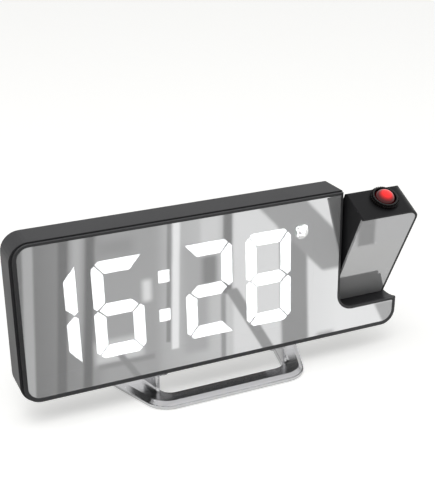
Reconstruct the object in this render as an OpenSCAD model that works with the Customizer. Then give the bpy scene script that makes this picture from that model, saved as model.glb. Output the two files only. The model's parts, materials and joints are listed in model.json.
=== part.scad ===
// Projection alarm clock: a mirror-fronted digital clock on a metal bracket, with a tilting projector arm.
// X runs along the width, Y from front to back and Z up. The origin is on the desk, under the middle.

/* [Body] */
// Width of the body with the tab under the arm
body_w = 187.8; // [180:0.2:200]
// Height of the body
body_h = 73.6; // [72:0.1:80]
// Depth of the body
body_d = 17.6; // [17.6:0.1:20]
// Height of the body's underside above the desk
body_lift = 11.5; // [10:0.1:20]
// Wall thickness of the mouldings
wall = 2; // [1.8:0.1:2.2]
// Radius of the body's outer corners
corner_r = 8.6; // [6:0.2:10]
// Radius of the corner beside the arm
inner_corner_r = 0.5; // [0.3:0.1:1.2]
// Radius rolled round the rear edges
edge_r = 1; // [0.6:0.1:1.6]

/* [Front] */
// Thickness of the mirror panel
mirror_t = 1.4; // [1.2:0.1:1.5]
// Depth of the bezel's front flange
flange_t = 1.2; // [1:0.1:1.4]
// Set-back of the flange from the shell's top and underside
flange_inset = 0.5; // [0.3:0.1:0.7]
// Set-back of the flange from the shell's sides
side_inset = 1.3; // [0.8:0.1:1.4]
// Width of the shadow gap between flange and shell
seam_w = 0.5; // [0.4:0.1:1]
// Depth of the shadow gap
seam_depth = 0.5; // [0.3:0.1:0.6]
// Thickness of the bezel's plate behind the mirror
plate_t = 1.2; // [1:0.1:1.4]
// Width of the rim beside the mirror
rim_wide = 1.7; // [1.5:0.1:2]
// Width of the rim below the mirror
rim_low = 2; // [1.6:0.1:2.4]
// Width of the rim above the mirror and along the notch
rim_thin = 1.2; // [0.8:0.1:1.4]

/* [Arm] */
// Width of the projector arm
arm_w = 30.6; // [30:0.2:34]
// Gap between the arm and the body
arm_gap = 0.4; // [0.4:0.1:1]
// How far the tab reaches past the arm
tab_reach = 1.7; // [1:0.1:2.4]
// Height of the pivot above the body's underside
pivot_h = 35.8; // [35:0.1:36.4]
// Radius of the hollow in the tab's top
hollow_r = 22.9; // [22.5:0.1:23.4]
// Gap between the arm's foot and the hollow
foot_gap = 0.4; // [0.4:0.1:0.8]
// Radius of the hollow's inner corner
notch_r = 7; // [5:0.5:8]
// Drop of the arm's top below the body's top
arm_drop = 0.5; // [0:0.1:1]
// Radius of the arm's outer top corner
arm_corner_r = 5.5; // [4:0.5:7]
// Radius of the arm's corner beside the body
arm_inner_r = 0.3; // [0.2:0.1:0.8]
// Bevel along the arm's rear edges
arm_bevel = 1.1; // [0.6:0.1:1.3]
// Wall thickness of the arm's mouldings
arm_wall = 1.8; // [1.6:0.1:2]
// Width of the arm's dark rim
arm_rim = 1.2; // [1:0.1:1.5]
// Thickness of the arm's mirror
arm_mirror_t = 1.2; // [1:0.1:1.3]
// Forward lean of the arm at rest, in degrees
arm_lean = 27; // [0:1:40]

/* [Axle] */
// Radius of the arm's hollow axle
axle_r = 3.2; // [3:0.1:3.4]
// Radius of the wire way through the axle
axle_bore_r = 1.9; // [1.6:0.1:2]
// Wall of the bush round the axle
bush_t = 1; // [0.8:0.1:1.1]
// Radial clearance of running fits
run_fit = 0.05; // [0.04:0.01:0.08]

/* [Projector] */
// Distance of the lens from the arm's right side
lens_edge = 14.2; // [13.8:0.1:15]
// Distance of the lens behind the arm's middle
lens_back = 1; // [0.6:0.1:1]
// Radius of the focus ring
ring_r = 6; // [5.8:0.1:6.1]
// How far the bead that holds the focus ring stands out
ring_bead = 0.6; // [0.4:0.1:0.7]
// Height of the focus ring above the arm
ring_rise = 2.1; // [1.5:0.1:3]
// Radius of the lens barrel
barrel_r = 5; // [4.8:0.1:5]
// Height of the lens's crown above the arm
lens_rise = 4.4; // [3.6:0.1:5]
// Length of the lens barrel
barrel_len = 16; // [14:0.5:18]
// Length of the projector's lens tube
tube_len = 36; // [34:0.5:37]

/* [Display] */
// Distance of the digits from the body's top
digit_head = 13.8; // [13.4:0.1:16]
// Distance of the digits from the body's underside
digit_foot = 13.9; // [13.6:0.1:16]
// Distance of the first digit from the body's left side
face_margin = 4.6; // [4.4:0.1:6]
// Gap between the two digits of a pair
digit_gap = 6.8; // [6.4:0.1:8]
// Gap between the two pairs of digits
pair_gap = 19.6; // [17:0.1:21]
// Room for the alarm icon after the last digit
icon_space = 26.1; // [24:0.1:28]
// Width of an upright stroke
stroke_w = 5.3; // [4.5:0.1:5.8]
// Height of a level stroke
stroke_h = 6.1; // [5:0.1:6.6]
// Gap between neighbouring strokes
stroke_gap = 0.6; // [0.4:0.1:0.9]
// Lean of the digits to the left over their height
digit_lean = 0.8; // [0:0.1:1]
// Time shown, as four digits
shown_time = [1, 6, 2, 8];
// Side of the square colon dots
dot_w = 5.2; // [4:0.1:5.6]
// Thickness of the display's reflector
reflector_t = 6; // [5:0.1:6.1]
// Thickness of the circuit boards
board_t = 1.2; // [1:0.1:1.6]

/* [Back] */
// Radius of the back buttons
button_r = 3; // [2.5:0.1:3.5]
// Height of the buttons above the back
button_rise = 1; // [0.6:0.1:1.5]
// Distance between the back buttons
button_pitch = 15; // [13:0.5:16]
// Travel of the back buttons
button_travel = 0.6; // [0.4:0.05:0.6]
// Radius of the coin cell
cell_r = 10; // [9.5:0.1:10]
// Thickness of the coin cell
cell_t = 3.2; // [2.5:0.1:3.2]
// Thickness of the battery door
door_t = 1; // [0.8:0.1:1]
// Radius of the screws' shanks
screw_r = 1; // [0.8:0.05:1.1]

/* [Stand] */
// Width of the stand's front edge
stand_front_w = 73.2; // [68:0.2:80]
// Depth of the stand on the desk
stand_d = 45.4; // [42:0.2:50]
// Distance of the stand's front edge ahead of the body's middle
stand_ahead = 20.6; // [18:0.1:24]
// Sideways shift of the stand
stand_x = 0.2; // [-2:0.1:2]
// Splay of the stand's sides, in degrees
stand_splay = 20; // [14:1:24]
// Width of the stand's bars
bar_w = 9.2; // [8:0.1:10]
// Height of the stand's bars above the desk
bar_h = 3.4; // [3:0.1:4.4]
// Radius of the stand's outer corners
stand_corner_r = 12; // [10:0.5:14]
// Thickness of the stand's legs
leg_t = 2.2; // [1.8:0.1:3]
// Length of the stand's legs from front to back
leg_len = 11.9; // [10.6:0.1:12.4]
// Distance between the legs at their front
leg_gap = 61.6; // [58:0.2:63]
// Distance of the legs' front ahead of the body's middle
leg_ahead = 7.3; // [6:0.1:7.6]
// Splay of the legs, in degrees
leg_splay = 13; // [8:1:16]
// Fillet at the foot of each leg
leg_fillet = 2; // [1:0.1:2.4]
// Radius of the rubber feet
foot_r = 2.6; // [2:0.1:2.8]

/* [Hidden] */
$fn = 48;
seat = 0.1;          // clearance between fixed pieces
free = 0.3;          // clearance round pieces that move
past = 1;            // how far a cut runs past a face

black = "#2b2b2d";
dark = "#3c3c3f";
board_green = "#1f5a3a";
steel = "#b9bbbd";
white = "#f4f4f2";

// Faces of the body
x0 = -body_w / 2;
x1 = body_w / 2;
z0 = body_lift;
z1 = body_lift + body_h;
y0 = -body_d / 2;
y1 = body_d / 2;
arm_x1 = x1 - tab_reach;
arm_x0 = arm_x1 - arm_w;
notch_x = arm_x0 - arm_gap;
pivot_z = z0 + pivot_h;
arm_top = z1 - arm_drop;
arm_foot_r = hollow_r - foot_gap;
tab_z = pivot_z - sqrt(hollow_r * hollow_r - y0 * y0);

// Layers from the mirror to the back wall
seam_y = y0 + flange_t + seam_w;
mirror_y = y0 + mirror_t;
plate_y = seam_y + plate_t;
reflector_y = seam_y + seat;
display_y = reflector_y + reflector_t;
display_board_t = 1.6;
display_back = display_y + display_board_t;
back_y = y1 - wall;
boss_h = 2.4;
board_y = back_y - boss_h;
board_front = board_y - board_t;

// Display layout
face_w = notch_x - x0;
digit_w = (face_w - face_margin - 2 * digit_gap - pair_gap - icon_space) / 4;
digit_h = body_h - digit_head - digit_foot;
hours_x = x0 + face_margin;
minutes_x = hours_x + 2 * digit_w + digit_gap + pair_gap;
digit_x = [for (x = [hours_x, minutes_x], i = [0, 1]) x + i * (digit_w + digit_gap)];
digits_z = z0 + digit_foot;
reflector_x0 = hours_x - 0.6;
reflector_z0 = digits_z - 2.4;
reflector_z1 = digits_z + digit_h + 2.4;
colon_x = minutes_x - pair_gap / 2 - 0.3;
colon_z = [for (share = [0.325, 0.73]) digits_z + share * digit_h];
icon_r = 2.5;
icon_x = digit_x[3] + digit_w + 5.3;
icon_z = digits_z + digit_h - icon_r - 0.6;
reflector_x1 = icon_x + 6.5;
display_boss_z = [reflector_z0 - 2.2, reflector_z1 + 2.1];
display_boss_r = 1.7;
display_boss_x = [hours_x + digit_w, hours_x + 2 * digit_w + 2, icon_x + 0.5];
segments = ["a", "b", "c", "d", "e", "f", "g"];
digit_shapes = ["abcdef", "bc", "abged", "abgcd", "fgbc", "afgcd", "afgecd", "abc", "abcdefg", "abcdfg"];

// Screw places through the back, as [x, z]
shell_screw_places = [
    [x0 + 12, z1 - 5.1], [minutes_x - 1.6, z1 - 5.1], [notch_x - 9, z1 - 5.1],
    [x0 + 12, z0 + 5.2], [0, z0 + 5.2], [notch_x - 7, z0 + 5.2]
];
shell_boss_r = 2.4;
shell_boss_y = -1;

// Back features
cell_x = x0 + 19.9;
cell_z = z0 + 36.5;
well_r = cell_r + 0.4;
well_t = 1.2;
cell_y = back_y - 0.6 - cell_t;
well_floor = 0.8;
door_w = 2 * well_r + 5.2;
board_x0 = cell_x + well_r + well_t + 4.4;
board_x1 = notch_x - 17.2;
board_mid = (board_x0 + board_x1) / 2;
board_z0 = z0 + 11.3;
board_z1 = z1 - 12.3;
board_places = [for (x = [board_x0 + 4, board_x1 - 4], z = [board_z0 + 3, board_z1 - 3]) [x, z]];
buttons_z = board_z1 - 9;
button_x = [for (i = [-2 : 2]) board_mid + i * button_pitch];
flange_h = 0.6;
switch_h = boss_h - free - flange_h - button_travel - 0.1;
buzzer_x = board_x1 - 22;
buzzer_z = board_z0 + 13;
buzzer_r = 6;
port_z = z0 + wall + 0.3;
usb_w = 13.1;
usb_h = 5.7;
usb_d = 13.6;
usb_x = x1 - 5 - usb_w / 2;
inlet_w = 7;
inlet_h = 5.6;
inlet_d = 11;
inlet_x = notch_x + 6.5;
inlet_bore = 1.8;

// Axle and arm
bush_r = axle_r + run_fit + bush_t;
axle_block = bush_r + 2.2;
axle_in = notch_x - 6.2;
clip_r = axle_r + 1.5;
lens_x = arm_x1 - lens_edge;
lens_y = lens_back;
tube_bore = barrel_r + run_fit + 0.03;
tube_r = tube_bore + 1.1;
tube_top = arm_top - arm_wall - 2.1;
tube_z = tube_top - tube_len;
lug_z = [tube_z + 10, tube_z + 24];
lug_reach = tube_r + 2.6;

// Stand
pad_rise = 0.3;
stand_y0 = -stand_ahead;
stand_y1 = stand_y0 + stand_d;
leg_top = z0;
stand_flange_t = 1.6;

// ---------- helpers ----------

// Stands a flat outline, drawn in X and Z, between two depths
module slab(from, to) {
    translate([0, to, 0]) rotate([90, 0, 0]) linear_extrude(to - from) children();
}

// A round bar along Y
module rod_y(x, z, from, to, r) {
    translate([x, to, z]) rotate([90, 0, 0]) cylinder(h = to - from, r = r);
}

// A round bar along X
module rod_x(y, z, from, to, r) {
    translate([from, y, z]) rotate([0, 90, 0]) cylinder(h = to - from, r = r);
}

module box(from, to) {
    translate(from) cube(to - from);
}

// What is taken off a square corner at [x, z] to leave radius r; dx and dz point out of the corner
module corner_cut(x, z, dx, dz, r) {
    if (r > 0) difference() {
        translate([x - (dx > 0 ? r : past), z - (dz > 0 ? r : past)]) square([r + past, r + past]);
        translate([x - dx * r, z - dz * r]) circle(r);
    }
}

// Upright rectangle with radii for top left, top right, bottom right and bottom left
module rounded(a, b, c, d, r) {
    difference() {
        translate([a, c]) square([b - a, d - c]);
        corner_cut(a, d, -1, 1, r[0]);
        corner_cut(b, d, 1, 1, r[1]);
        corner_cut(b, c, 1, -1, r[2]);
        corner_cut(a, c, -1, -1, r[3]);
    }
}

// The body's L-shaped front outline, set in by the given margins
module ell(side, low, top, notch, out_r, top_r, tab_r, in_r) {
    nx = notch_x - notch;
    nz = tab_z - notch;
    difference() {
        rounded(x0 + side, x1 - side, z0 + low, z1 - top, [out_r, 0, out_r, out_r]);
        difference() {
            translate([nx, nz]) square([body_w, body_h]);
            corner_cut(nx, nz, -1, -1, in_r);
        }
        corner_cut(nx, z1 - top, 1, 1, top_r);
        corner_cut(x1 - side, nz, 1, 1, tab_r);
    }
}

// The space that the arm swings in: open above the pivot, round below it
module notch_space(margin, round_r = 0) {
    from = notch_x - margin;
    translate([from, -body_d, pivot_z]) cube([body_w, 2 * body_d, body_h]);
    translate([from, 0, pivot_z]) rotate([0, 90, 0]) rotate_extrude($fn = 96) {
        difference() {
            square([hollow_r + margin, body_w]);
            corner_cut(hollow_r + margin, 0, 1, -1, notch_r + margin);
        }
        if (round_r > 0) difference() {
            translate([hollow_r, x1 - from - round_r]) square([round_r, round_r + past]);
            translate([hollow_r + round_r, x1 - from - round_r]) circle(round_r);
        }
    }
}

// Block with its rear edge rolled over
module rolled(a, b, c, d, r, from, to) {
    $fn = 32;
    hull() {
        slab(from, to - edge_r) rounded(a, b, c, d, r);
        for (t = [30, 60, 90]) let (m = edge_r * (1 - cos(t)), y = to - edge_r + edge_r * sin(t))
            slab(y - 0.01, y) rounded(a + m, b - m, c + m, d - m, [for (q = r) max(q - m, 0.05)]);
    }
}

// Pan-head screw along Y; the head is at its rear end
module screw_y(x, z, from, to, r) {
    head_h = 1.1;
    difference() {
        union() {
            rod_y(x, z, from, to - head_h + 0.01, r);
            rod_y(x, z, to - head_h, to, 1.8 * r);
        }
        for (a = [0, 90]) translate([x, to, z]) rotate([0, a, 0])
            cube([2.2 * r, 1, 0.5 * r], center = true);
    }
}

// Turns a closed arm's pieces to the arm's lean
module leaning() {
    translate([0, 0, pivot_z]) rotate([arm_lean, 0, 0]) translate([0, 0, -pivot_z]) children();
}

// ---------- body ----------

module rear_shell() color(dark) {
    cavity_r = corner_r - wall;
    difference() {
        union() {
            difference() {
                union() {
                    rolled(x0, notch_x, z0, z1, [corner_r, inner_corner_r, corner_r, corner_r], seam_y, y1);
                    rolled(notch_x - 2 * corner_r, x1, z0, pivot_z, [corner_r, 1.3, corner_r, 0.05],
                        seam_y, y1);
                }
                notch_space(0, 0.8);
                difference() {
                    slab(seam_y - past, back_y)
                        rounded(x0 + wall, x1 - wall, z0 + wall, z1 - wall, [cavity_r, 0, cavity_r, cavity_r]);
                    notch_space(wall);
                }
            }
            for (p = shell_screw_places) rod_y(p[0], p[1], shell_boss_y, back_y + 0.1, shell_boss_r);
            for (p = board_places) rod_y(p[0], p[1], board_y, back_y + 0.1, 2.4);
            axle_housing();
            rod_y(cell_x, cell_z, cell_y - 0.7 - well_floor, back_y + 0.1, well_r + well_t);
            difference() {
                rod_y(buzzer_x, buzzer_z, back_y - 0.8, back_y + 0.1, buzzer_r + 1.1);
                rod_y(buzzer_x, buzzer_z, back_y - 0.9, back_y, buzzer_r + seat);
            }
            for (p = stand_screw_places) translate([p[0], p[1], z0 + wall - 0.1]) cylinder(h = 4.2, r = 2.2);
        }
        for (p = shell_screw_places) {
            rod_y(p[0], p[1], shell_boss_y - past, y1, screw_r + seat);
            rod_y(p[0], p[1], y1 - 1.4, y1 + past, 1.8 * screw_r + 0.2);
        }
        for (p = board_places) rod_y(p[0], p[1], board_y - past, board_y + 2, screw_r + run_fit);
        rod_x(0, pivot_z, axle_in, notch_x + past, bush_r + run_fit);
        for (x = button_x) rod_y(x, buttons_z, back_y - past, y1 + past, button_r + free);
        rod_y(cell_x, cell_z, cell_y - 0.7, y1 + past, well_r);
        door_recess();
        for (i = [-2 : 2]) translate([buzzer_x + 2.2 * i, y1 - wall / 2, buzzer_z])
            cube([1.1, wall + 2, 2 * (buzzer_r - 1.2 - abs(i) * 0.9)], center = true);
        box([usb_x - usb_w / 2 - 0.2, back_y - past, port_z + board_t - 0.2],
            [usb_x + usb_w / 2 + 0.2, y1 + past, port_z + board_t + usb_h + 0.2]);
        rod_y(inlet_x, port_z + board_t + inlet_h / 2, back_y - past, y1 + past, inlet_bore + 0.7);
        for (p = stand_screw_places) translate([p[0], p[1], z0 - past])
            cylinder(h = 6.4, r = screw_r + run_fit);
    }
}

// The block inside the notch wall that holds the bush
module axle_housing() {
    box([notch_x - 5, plate_y + seat, pivot_z - axle_block],
        [notch_x - wall + 0.1, back_y + 0.1, pivot_z + axle_block]);
}

// The shallow seat of the battery door and its finger notch
module door_recess() {
    depth = door_t + free;
    box([cell_x - door_w / 2 - free, y1 - depth, cell_z - door_w / 2 - free],
        [cell_x + door_w / 2 + free, y1 + past, cell_z + door_w / 2 + free]);
    rod_y(cell_x + door_w / 2, cell_z, y1 - depth, y1 + past, 3.5);
}

module front_bezel() color(black) {
    difference() {
        union() {
            slab(y0, y0 + flange_t) flange_outline(0);
            slab(y0 + flange_t - 0.01, seam_y) flange_outline(seam_depth);
            difference() {
                slab(seam_y - 0.01, plate_y) ell(wall + seat, wall + seat, wall + seat, wall + seat,
                    corner_r - wall - seat, 0, 0, notch_r + wall + seat);
                notch_space(wall + seat);
            }
            for (p = shell_screw_places)
                rod_y(p[0], p[1], plate_y - 0.1, shell_boss_y, shell_boss_r);
            for (x = display_boss_x, z = display_boss_z)
                rod_y(x, z, plate_y - 0.1, display_y, display_boss_r);
        }
        slab(y0 - past, mirror_y) mirror_outline(-seat);
        box([reflector_x0 - seat, mirror_y - past, reflector_z0 - seat],
            [reflector_x1 + seat, plate_y + past, reflector_z1 + seat]);
        for (p = shell_screw_places) rod_y(p[0], p[1], plate_y, y1, screw_r + run_fit);
        for (x = display_boss_x, z = display_boss_z) rod_y(x, z, plate_y, y1, screw_r * 0.8 + run_fit);
    }
}

module flange_outline(margin) {
    top = flange_inset + margin;
    side = side_inset + margin;
    ell(side, top, top, top, corner_r - side, inner_corner_r - top, 0.6 - margin, notch_r + top);
}

module mirror_outline(margin) {
    side = side_inset + rim_wide + margin;
    low = flange_inset + rim_low + margin;
    top = flange_inset + rim_thin + margin;
    ell(side, low, top, top, corner_r - side, 0, 0.6, notch_r + top);
}

module mirror_panel() color("#c9ccd0") slab(y0, mirror_y) mirror_outline(0);

// ---------- display ----------

e = stroke_gap / 2.8;
bevel = 3.4;
tip = bevel / 2;

// Ends of the strokes, as points measured in from an outer corner or from the middle line
function level_end(cut) = cut ? [[bevel, 0], [tip + e, tip - e], [stroke_w + 2 * e, stroke_h]]
    : [[2 * e, 0], [stroke_w + 2 * e, stroke_h]];
function upright_end(cut) = cut ? [[0, bevel], [tip - e, tip + e], [stroke_w, stroke_h + 2 * e]]
    : [[0, 2 * e], [stroke_w, stroke_h + 2 * e]];
mid_upright = [[0, 1.6], [1.7, e], [stroke_w, stroke_h / 2 + 2 * e]];
mid_level = [[stroke_w + 2 * e, stroke_h / 2], [2.6, 0], [stroke_w + 2 * e, -stroke_h / 2]];

function turned(points) = [for (i = [len(points) - 1 : -1 : 0]) points[i]];
function placed(points, right, z, up) =
    [for (p = points) [right ? digit_w - p[0] : p[0], z + up * p[1]]];
function leaned(points) = [for (p = points) [p[0] + digit_lean * (0.5 - p[1] / digit_h), p[1]]];
function has(digit, s) = len(search(s, digit_shapes[digit])) > 0;
function same(digit, s, t) = has(digit, s) == has(digit, t);

// Outline of one stroke of a digit
function stroke(digit, s) = leaned(
    s == "a" ? concat(placed(level_end(same(digit, "a", "f")), false, digit_h, -1),
        turned(placed(level_end(same(digit, "a", "b")), true, digit_h, -1)))
    : s == "d" ? concat(placed(level_end(same(digit, "d", "e")), false, 0, 1),
        turned(placed(level_end(same(digit, "d", "c")), true, 0, 1)))
    : s == "f" ? concat(placed(upright_end(same(digit, "a", "f")), false, digit_h, -1),
        turned(placed(mid_upright, false, digit_h / 2, 1)))
    : s == "b" ? concat(placed(upright_end(same(digit, "a", "b")), true, digit_h, -1),
        turned(placed(mid_upright, true, digit_h / 2, 1)))
    : s == "e" ? concat(placed(upright_end(same(digit, "d", "e")), false, 0, 1),
        turned(placed(mid_upright, false, digit_h / 2, -1)))
    : s == "c" ? concat(placed(upright_end(same(digit, "d", "c")), true, 0, 1),
        turned(placed(mid_upright, true, digit_h / 2, -1)))
    : concat(placed(mid_level, false, digit_h / 2, 1), turned(placed(mid_level, true, digit_h / 2, 1))));

// Strokes of all four digits, either the lit ones or the dark ones, between two depths
module strokes(lit, from, to) {
    for (i = [0 : 3], s = segments) if (has(shown_time[i], s) == lit)
        slab(from, to) translate([digit_x[i], digits_z]) polygon(stroke(shown_time[i], s));
}

module colon_pair(margin, from, to) {
    for (z = colon_z) slab(from, to) translate([colon_x, z])
        square([dot_w + 2 * margin, 1.13 * dot_w + 2 * margin], center = true);
}

module display_reflector() color(white) difference() {
    box([reflector_x0, reflector_y, reflector_z0], [reflector_x1, display_y, reflector_z1]);
    translate([0, -0.01, 0]) strokes(true, reflector_y - past, display_y + past);
    translate([0, -0.01, 0]) strokes(false, reflector_y - past, display_y + past);
    colon_pair(0, reflector_y - past, display_y + past);
    rod_y(icon_x, icon_z, reflector_y - past, display_y + past, icon_r + 1);
}

module lit_segments() color("white") strokes(true, reflector_y, display_y - 1);

module unlit_segments() color("#d8dadc") strokes(false, reflector_y, display_y - 1);

module colon_dots() color("white") colon_pair(0, reflector_y, display_y - 1);

// A small alarm clock with two bells
module alarm_icon() color("white") slab(reflector_y, reflector_y + 1) translate([icon_x, icon_z]) {
    difference() {
        circle(icon_r);
        circle(icon_r - 0.6);
    }
    for (a = [0, 90]) rotate(-a) translate([-0.25, -0.25]) square([0.5, 1.6]);
    for (k = [-1, 1]) {
        rotate(k * 40) translate([-1, icon_r + 0.15]) square([2, 0.5]);
        rotate(k * 35) translate([-0.25, -icon_r - 0.7]) square([0.5, 0.9]);
    }
}

module display_board() color(board_green) difference() {
    box([reflector_x0, display_y, display_boss_z[0] - display_boss_r],
        [reflector_x1, display_back, display_boss_z[1] + display_boss_r]);
    for (x = display_boss_x, z = display_boss_z)
        rod_y(x, z, display_y - past, display_back + past, screw_r * 0.8 + 0.2);
    for (p = shell_screw_places) rod_y(p[0], p[1], display_y - past, display_back + past, shell_boss_r + 0.4);
}

// One small light behind each stroke, dot and icon
module display_leds() color("#e8d060") {
    for (i = [0 : 3], s = segments) let (p = stroke(shown_time[i], s), n = len(p),
        x = digit_x[i] + [for (a = p, t = 0, k = 0; k < n; t = t + p[k][0], k = k + 1) t + p[k][0]][n - 1] / n,
        z = digits_z + [for (t = 0, k = 0; k < n; t = t + p[k][1], k = k + 1) t + p[k][1]][n - 1] / n)
        box([x - 0.8, display_y - 0.7, z - 0.8], [x + 0.8, display_y, z + 0.8]);
    for (z = colon_z) box([colon_x - 0.8, display_y - 0.7, z - 0.8], [colon_x + 0.8, display_y, z + 0.8]);
    box([icon_x - 0.8, display_y - 0.7, icon_z - 0.8], [icon_x + 0.8, display_y, icon_z + 0.8]);
}

// ---------- electronics ----------

module main_board() color(board_green) difference() {
    box([board_x0, board_front, board_z0], [board_x1, board_y, board_z1]);
    for (p = board_places) rod_y(p[0], p[1], board_front - past, board_y + past, screw_r + 0.2);
}

module control_chip() color("#161618") {
    box([board_mid - 9, board_front - 1.2, board_z0 + 19], [board_mid + 1, board_front, board_z0 + 29]);
}

module clock_crystal() color(steel) rod_x(board_front - 1, board_z0 + 33, board_mid - 7, board_mid, 1);

module board_connector() color("#e9e6da") {
    box([board_mid - 23, display_back, board_z0 + 1], [board_mid - 1, board_front, board_z0 + 3.6]);
}

module key_switches() color("#1a1a1a") for (x = button_x) {
    box([x - 2.2, board_y, buttons_z - 2.2], [x + 2.2, board_y + switch_h / 2, buttons_z + 2.2]);
    rod_y(x, buttons_z, board_y + switch_h / 2 - 0.01, board_y + switch_h, 1.2);
}

module buzzer() color("#111113") difference() {
    rod_y(buzzer_x, buzzer_z, board_y, back_y - seat, buzzer_r);
    rod_y(buzzer_x, buzzer_z, board_y + 1, y1, 1.2);
}

module port_board() color(board_green) {
    box([notch_x + 2, plate_y + 0.4, port_z], [usb_x + 4.4, back_y - 0.3, port_z + board_t]);
}

module power_inlet() color(black) {
    z = port_z + board_t;
    difference() {
        box([inlet_x - inlet_w / 2, back_y - inlet_d, z], [inlet_x + inlet_w / 2, back_y - seat, z + inlet_h]);
        rod_y(inlet_x, z + inlet_h / 2, back_y - inlet_d + 2, y1, inlet_bore);
    }
}

module inlet_pin() color(steel) {
    rod_y(inlet_x, port_z + board_t + inlet_h / 2, back_y - inlet_d + 2, back_y - 0.8, 0.6);
}

module usb_outlet() color(steel) difference() {
    t = 0.4;
    z = port_z + board_t;
    box([usb_x - usb_w / 2, y1 - 0.2 - usb_d, z], [usb_x + usb_w / 2, y1 - 0.2, z + usb_h]);
    box([usb_x - usb_w / 2 + t, y1 - usb_d + 1, z + t], [usb_x + usb_w / 2 - t, y1 + past, z + usb_h - t]);
}

module usb_tongue() color(white) {
    z = port_z + board_t + usb_h;
    box([usb_x - 5.5, y1 - usb_d + 1, z - 2.5], [usb_x + 5.5, y1 - 1.2, z - 0.7]);
}

// Spring under the coin cell and the strip beside it
module cell_contacts() color("#cfc7a0") {
    box([cell_x - 7, cell_y - 0.7, cell_z - 2], [cell_x + 7, cell_y - 0.4, cell_z + 2]);
    rod_y(cell_x, cell_z, cell_y - 0.5, cell_y - seat, 2);
}

module coin_cell() color("#c4c6c9") {
    rod_y(cell_x, cell_z, cell_y + 0.6, cell_y + cell_t, cell_r);
    rod_y(cell_x, cell_z, cell_y, cell_y + 0.61, cell_r - 1.4);
}

module battery_door() color(dark) difference() {
    union() {
        box([cell_x - door_w / 2, y1 - door_t, cell_z - door_w / 2],
            [cell_x + door_w / 2, y1, cell_z + door_w / 2]);
        rod_y(cell_x, cell_z, cell_y + cell_t + free, y1 - door_t + 0.01, cell_r - 1.5);
    }
    rod_y(cell_x + door_w / 2, cell_z, y1 - door_t - past, y1 + past, 3.2);
}

module shell_screws() color(steel) {
    for (p = shell_screw_places) screw_y(p[0], p[1], plate_y + 0.6, y1 - 0.3, screw_r);
}

// Screws that hold the main board on the shell and the display board on the bezel
module board_screws() color(steel) {
    for (p = board_places) translate([0, 2 * board_front, 0]) mirror([0, 1, 0])
        screw_y(p[0], p[1], board_front - board_t - 1.8, board_front + 1.1, screw_r);
    for (x = display_boss_x, z = display_boss_z)
        screw_y(x, z, plate_y + 0.5, display_back + 1.1, screw_r * 0.8);
}

module axle_bush() color("#d9d4c4") difference() {
    union() {
        rod_x(0, pivot_z, notch_x - 5, notch_x, bush_r);
        rod_x(0, pivot_z, notch_x - 5.8, notch_x - 5, bush_r + 1);
    }
    rod_x(0, pivot_z, notch_x - 6.8, notch_x + past, axle_r + run_fit);
}

// ---------- back buttons ----------

module back_button(i) {
    rod_y(button_x[i], buttons_z, back_y - free - 0.01, y1 + button_rise, button_r);
    rod_y(button_x[i], buttons_z, back_y - free - flange_h, back_y - free, button_r + 0.8);
}

module mode_button() color(black) back_button(0);

module up_button() color(black) back_button(1);

module down_button() color(black) back_button(2);

module alarm_button() color(black) back_button(3);

module snooze_button() color(black) back_button(4);

// ---------- stand ----------

inner_y0 = stand_y0 + bar_w;
inner_y1 = stand_y1 - bar_w;
inner_r = 5.5;
flange_reach = 7;
leg_y = -leg_ahead;

// Half width of the stand's outline and of its opening
function splayed(y) = stand_front_w / 2 + (y - stand_y0) * tan(stand_splay);
function inside(y) = leg_gap / 2 + (y - leg_y) * tan(leg_splay);

// Places beside the leg on side k: along it from its front, and outwards from its inner face
function leg_place(k, along, out) = [
    stand_x + k * (leg_gap / 2 + along * sin(leg_splay) + out * cos(leg_splay)),
    leg_y + along * cos(leg_splay) - out * sin(leg_splay)
];
stand_screw_places = [for (k = [-1, 1], along = [3.4, 8.2]) leg_place(k, along, -4)];
foot_places = [for (k = [-1, 1], y = [stand_y0 + bar_w / 2, stand_y1 - bar_w / 2])
    [stand_x + k * (splayed(y) - 15), y]];

// Four upright posts joined; the sides slope outwards from a half width at the front
module four_posts(front, back, half, slope, r, low, high, r_low, r_high) {
    $fn = 32;
    hull() for (k = [-1, 1], y = [front + r, back - r])
        translate([stand_x + k * (half + (y - front) * tan(slope) - r / cos(slope)), y, low])
            cylinder(h = high - low, r1 = r_low, r2 = r_high);
}

module stand_outline(low, high, r_low, r_high)
    four_posts(stand_y0, stand_y1, splayed(stand_y0), stand_splay, stand_corner_r, low, high, r_low, r_high);

module stand_opening(low, high, r_low, r_high)
    four_posts(inner_y0, inner_y1, inside(inner_y0), leg_splay, inner_r, low, high, r_low, r_high);

module stand() color("#c8cacc") {
    step_z = pad_rise + 0.45 * (bar_h - pad_rise);
    difference() {
        union() {
            difference() {
                union() {
                    stand_outline(pad_rise, step_z, stand_corner_r, stand_corner_r);
                    stand_outline(step_z - 0.01, bar_h, stand_corner_r - 0.5, stand_corner_r - 2.2);
                }
                stand_opening(pad_rise - past, bar_h + past, inner_r, inner_r);
                stand_opening(bar_h - 0.4, bar_h + 0.01, inner_r + 0.05, inner_r + 0.4);
            }
            for (k = [0, 1]) translate([stand_x, 0, 0]) mirror([k, 0, 0])
                translate([leg_gap / 2, leg_y, 0]) rotate(-leg_splay) leg();
        }
        for (p = foot_places) translate([p[0], p[1], pad_rise - past])
            cylinder(h = past + 0.7, r = foot_r + seat);
        for (p = stand_screw_places) translate([p[0], p[1], z0 - stand_flange_t - past])
            cylinder(h = stand_flange_t + 2 * past, r = screw_r + 0.2);
    }
}

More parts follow.
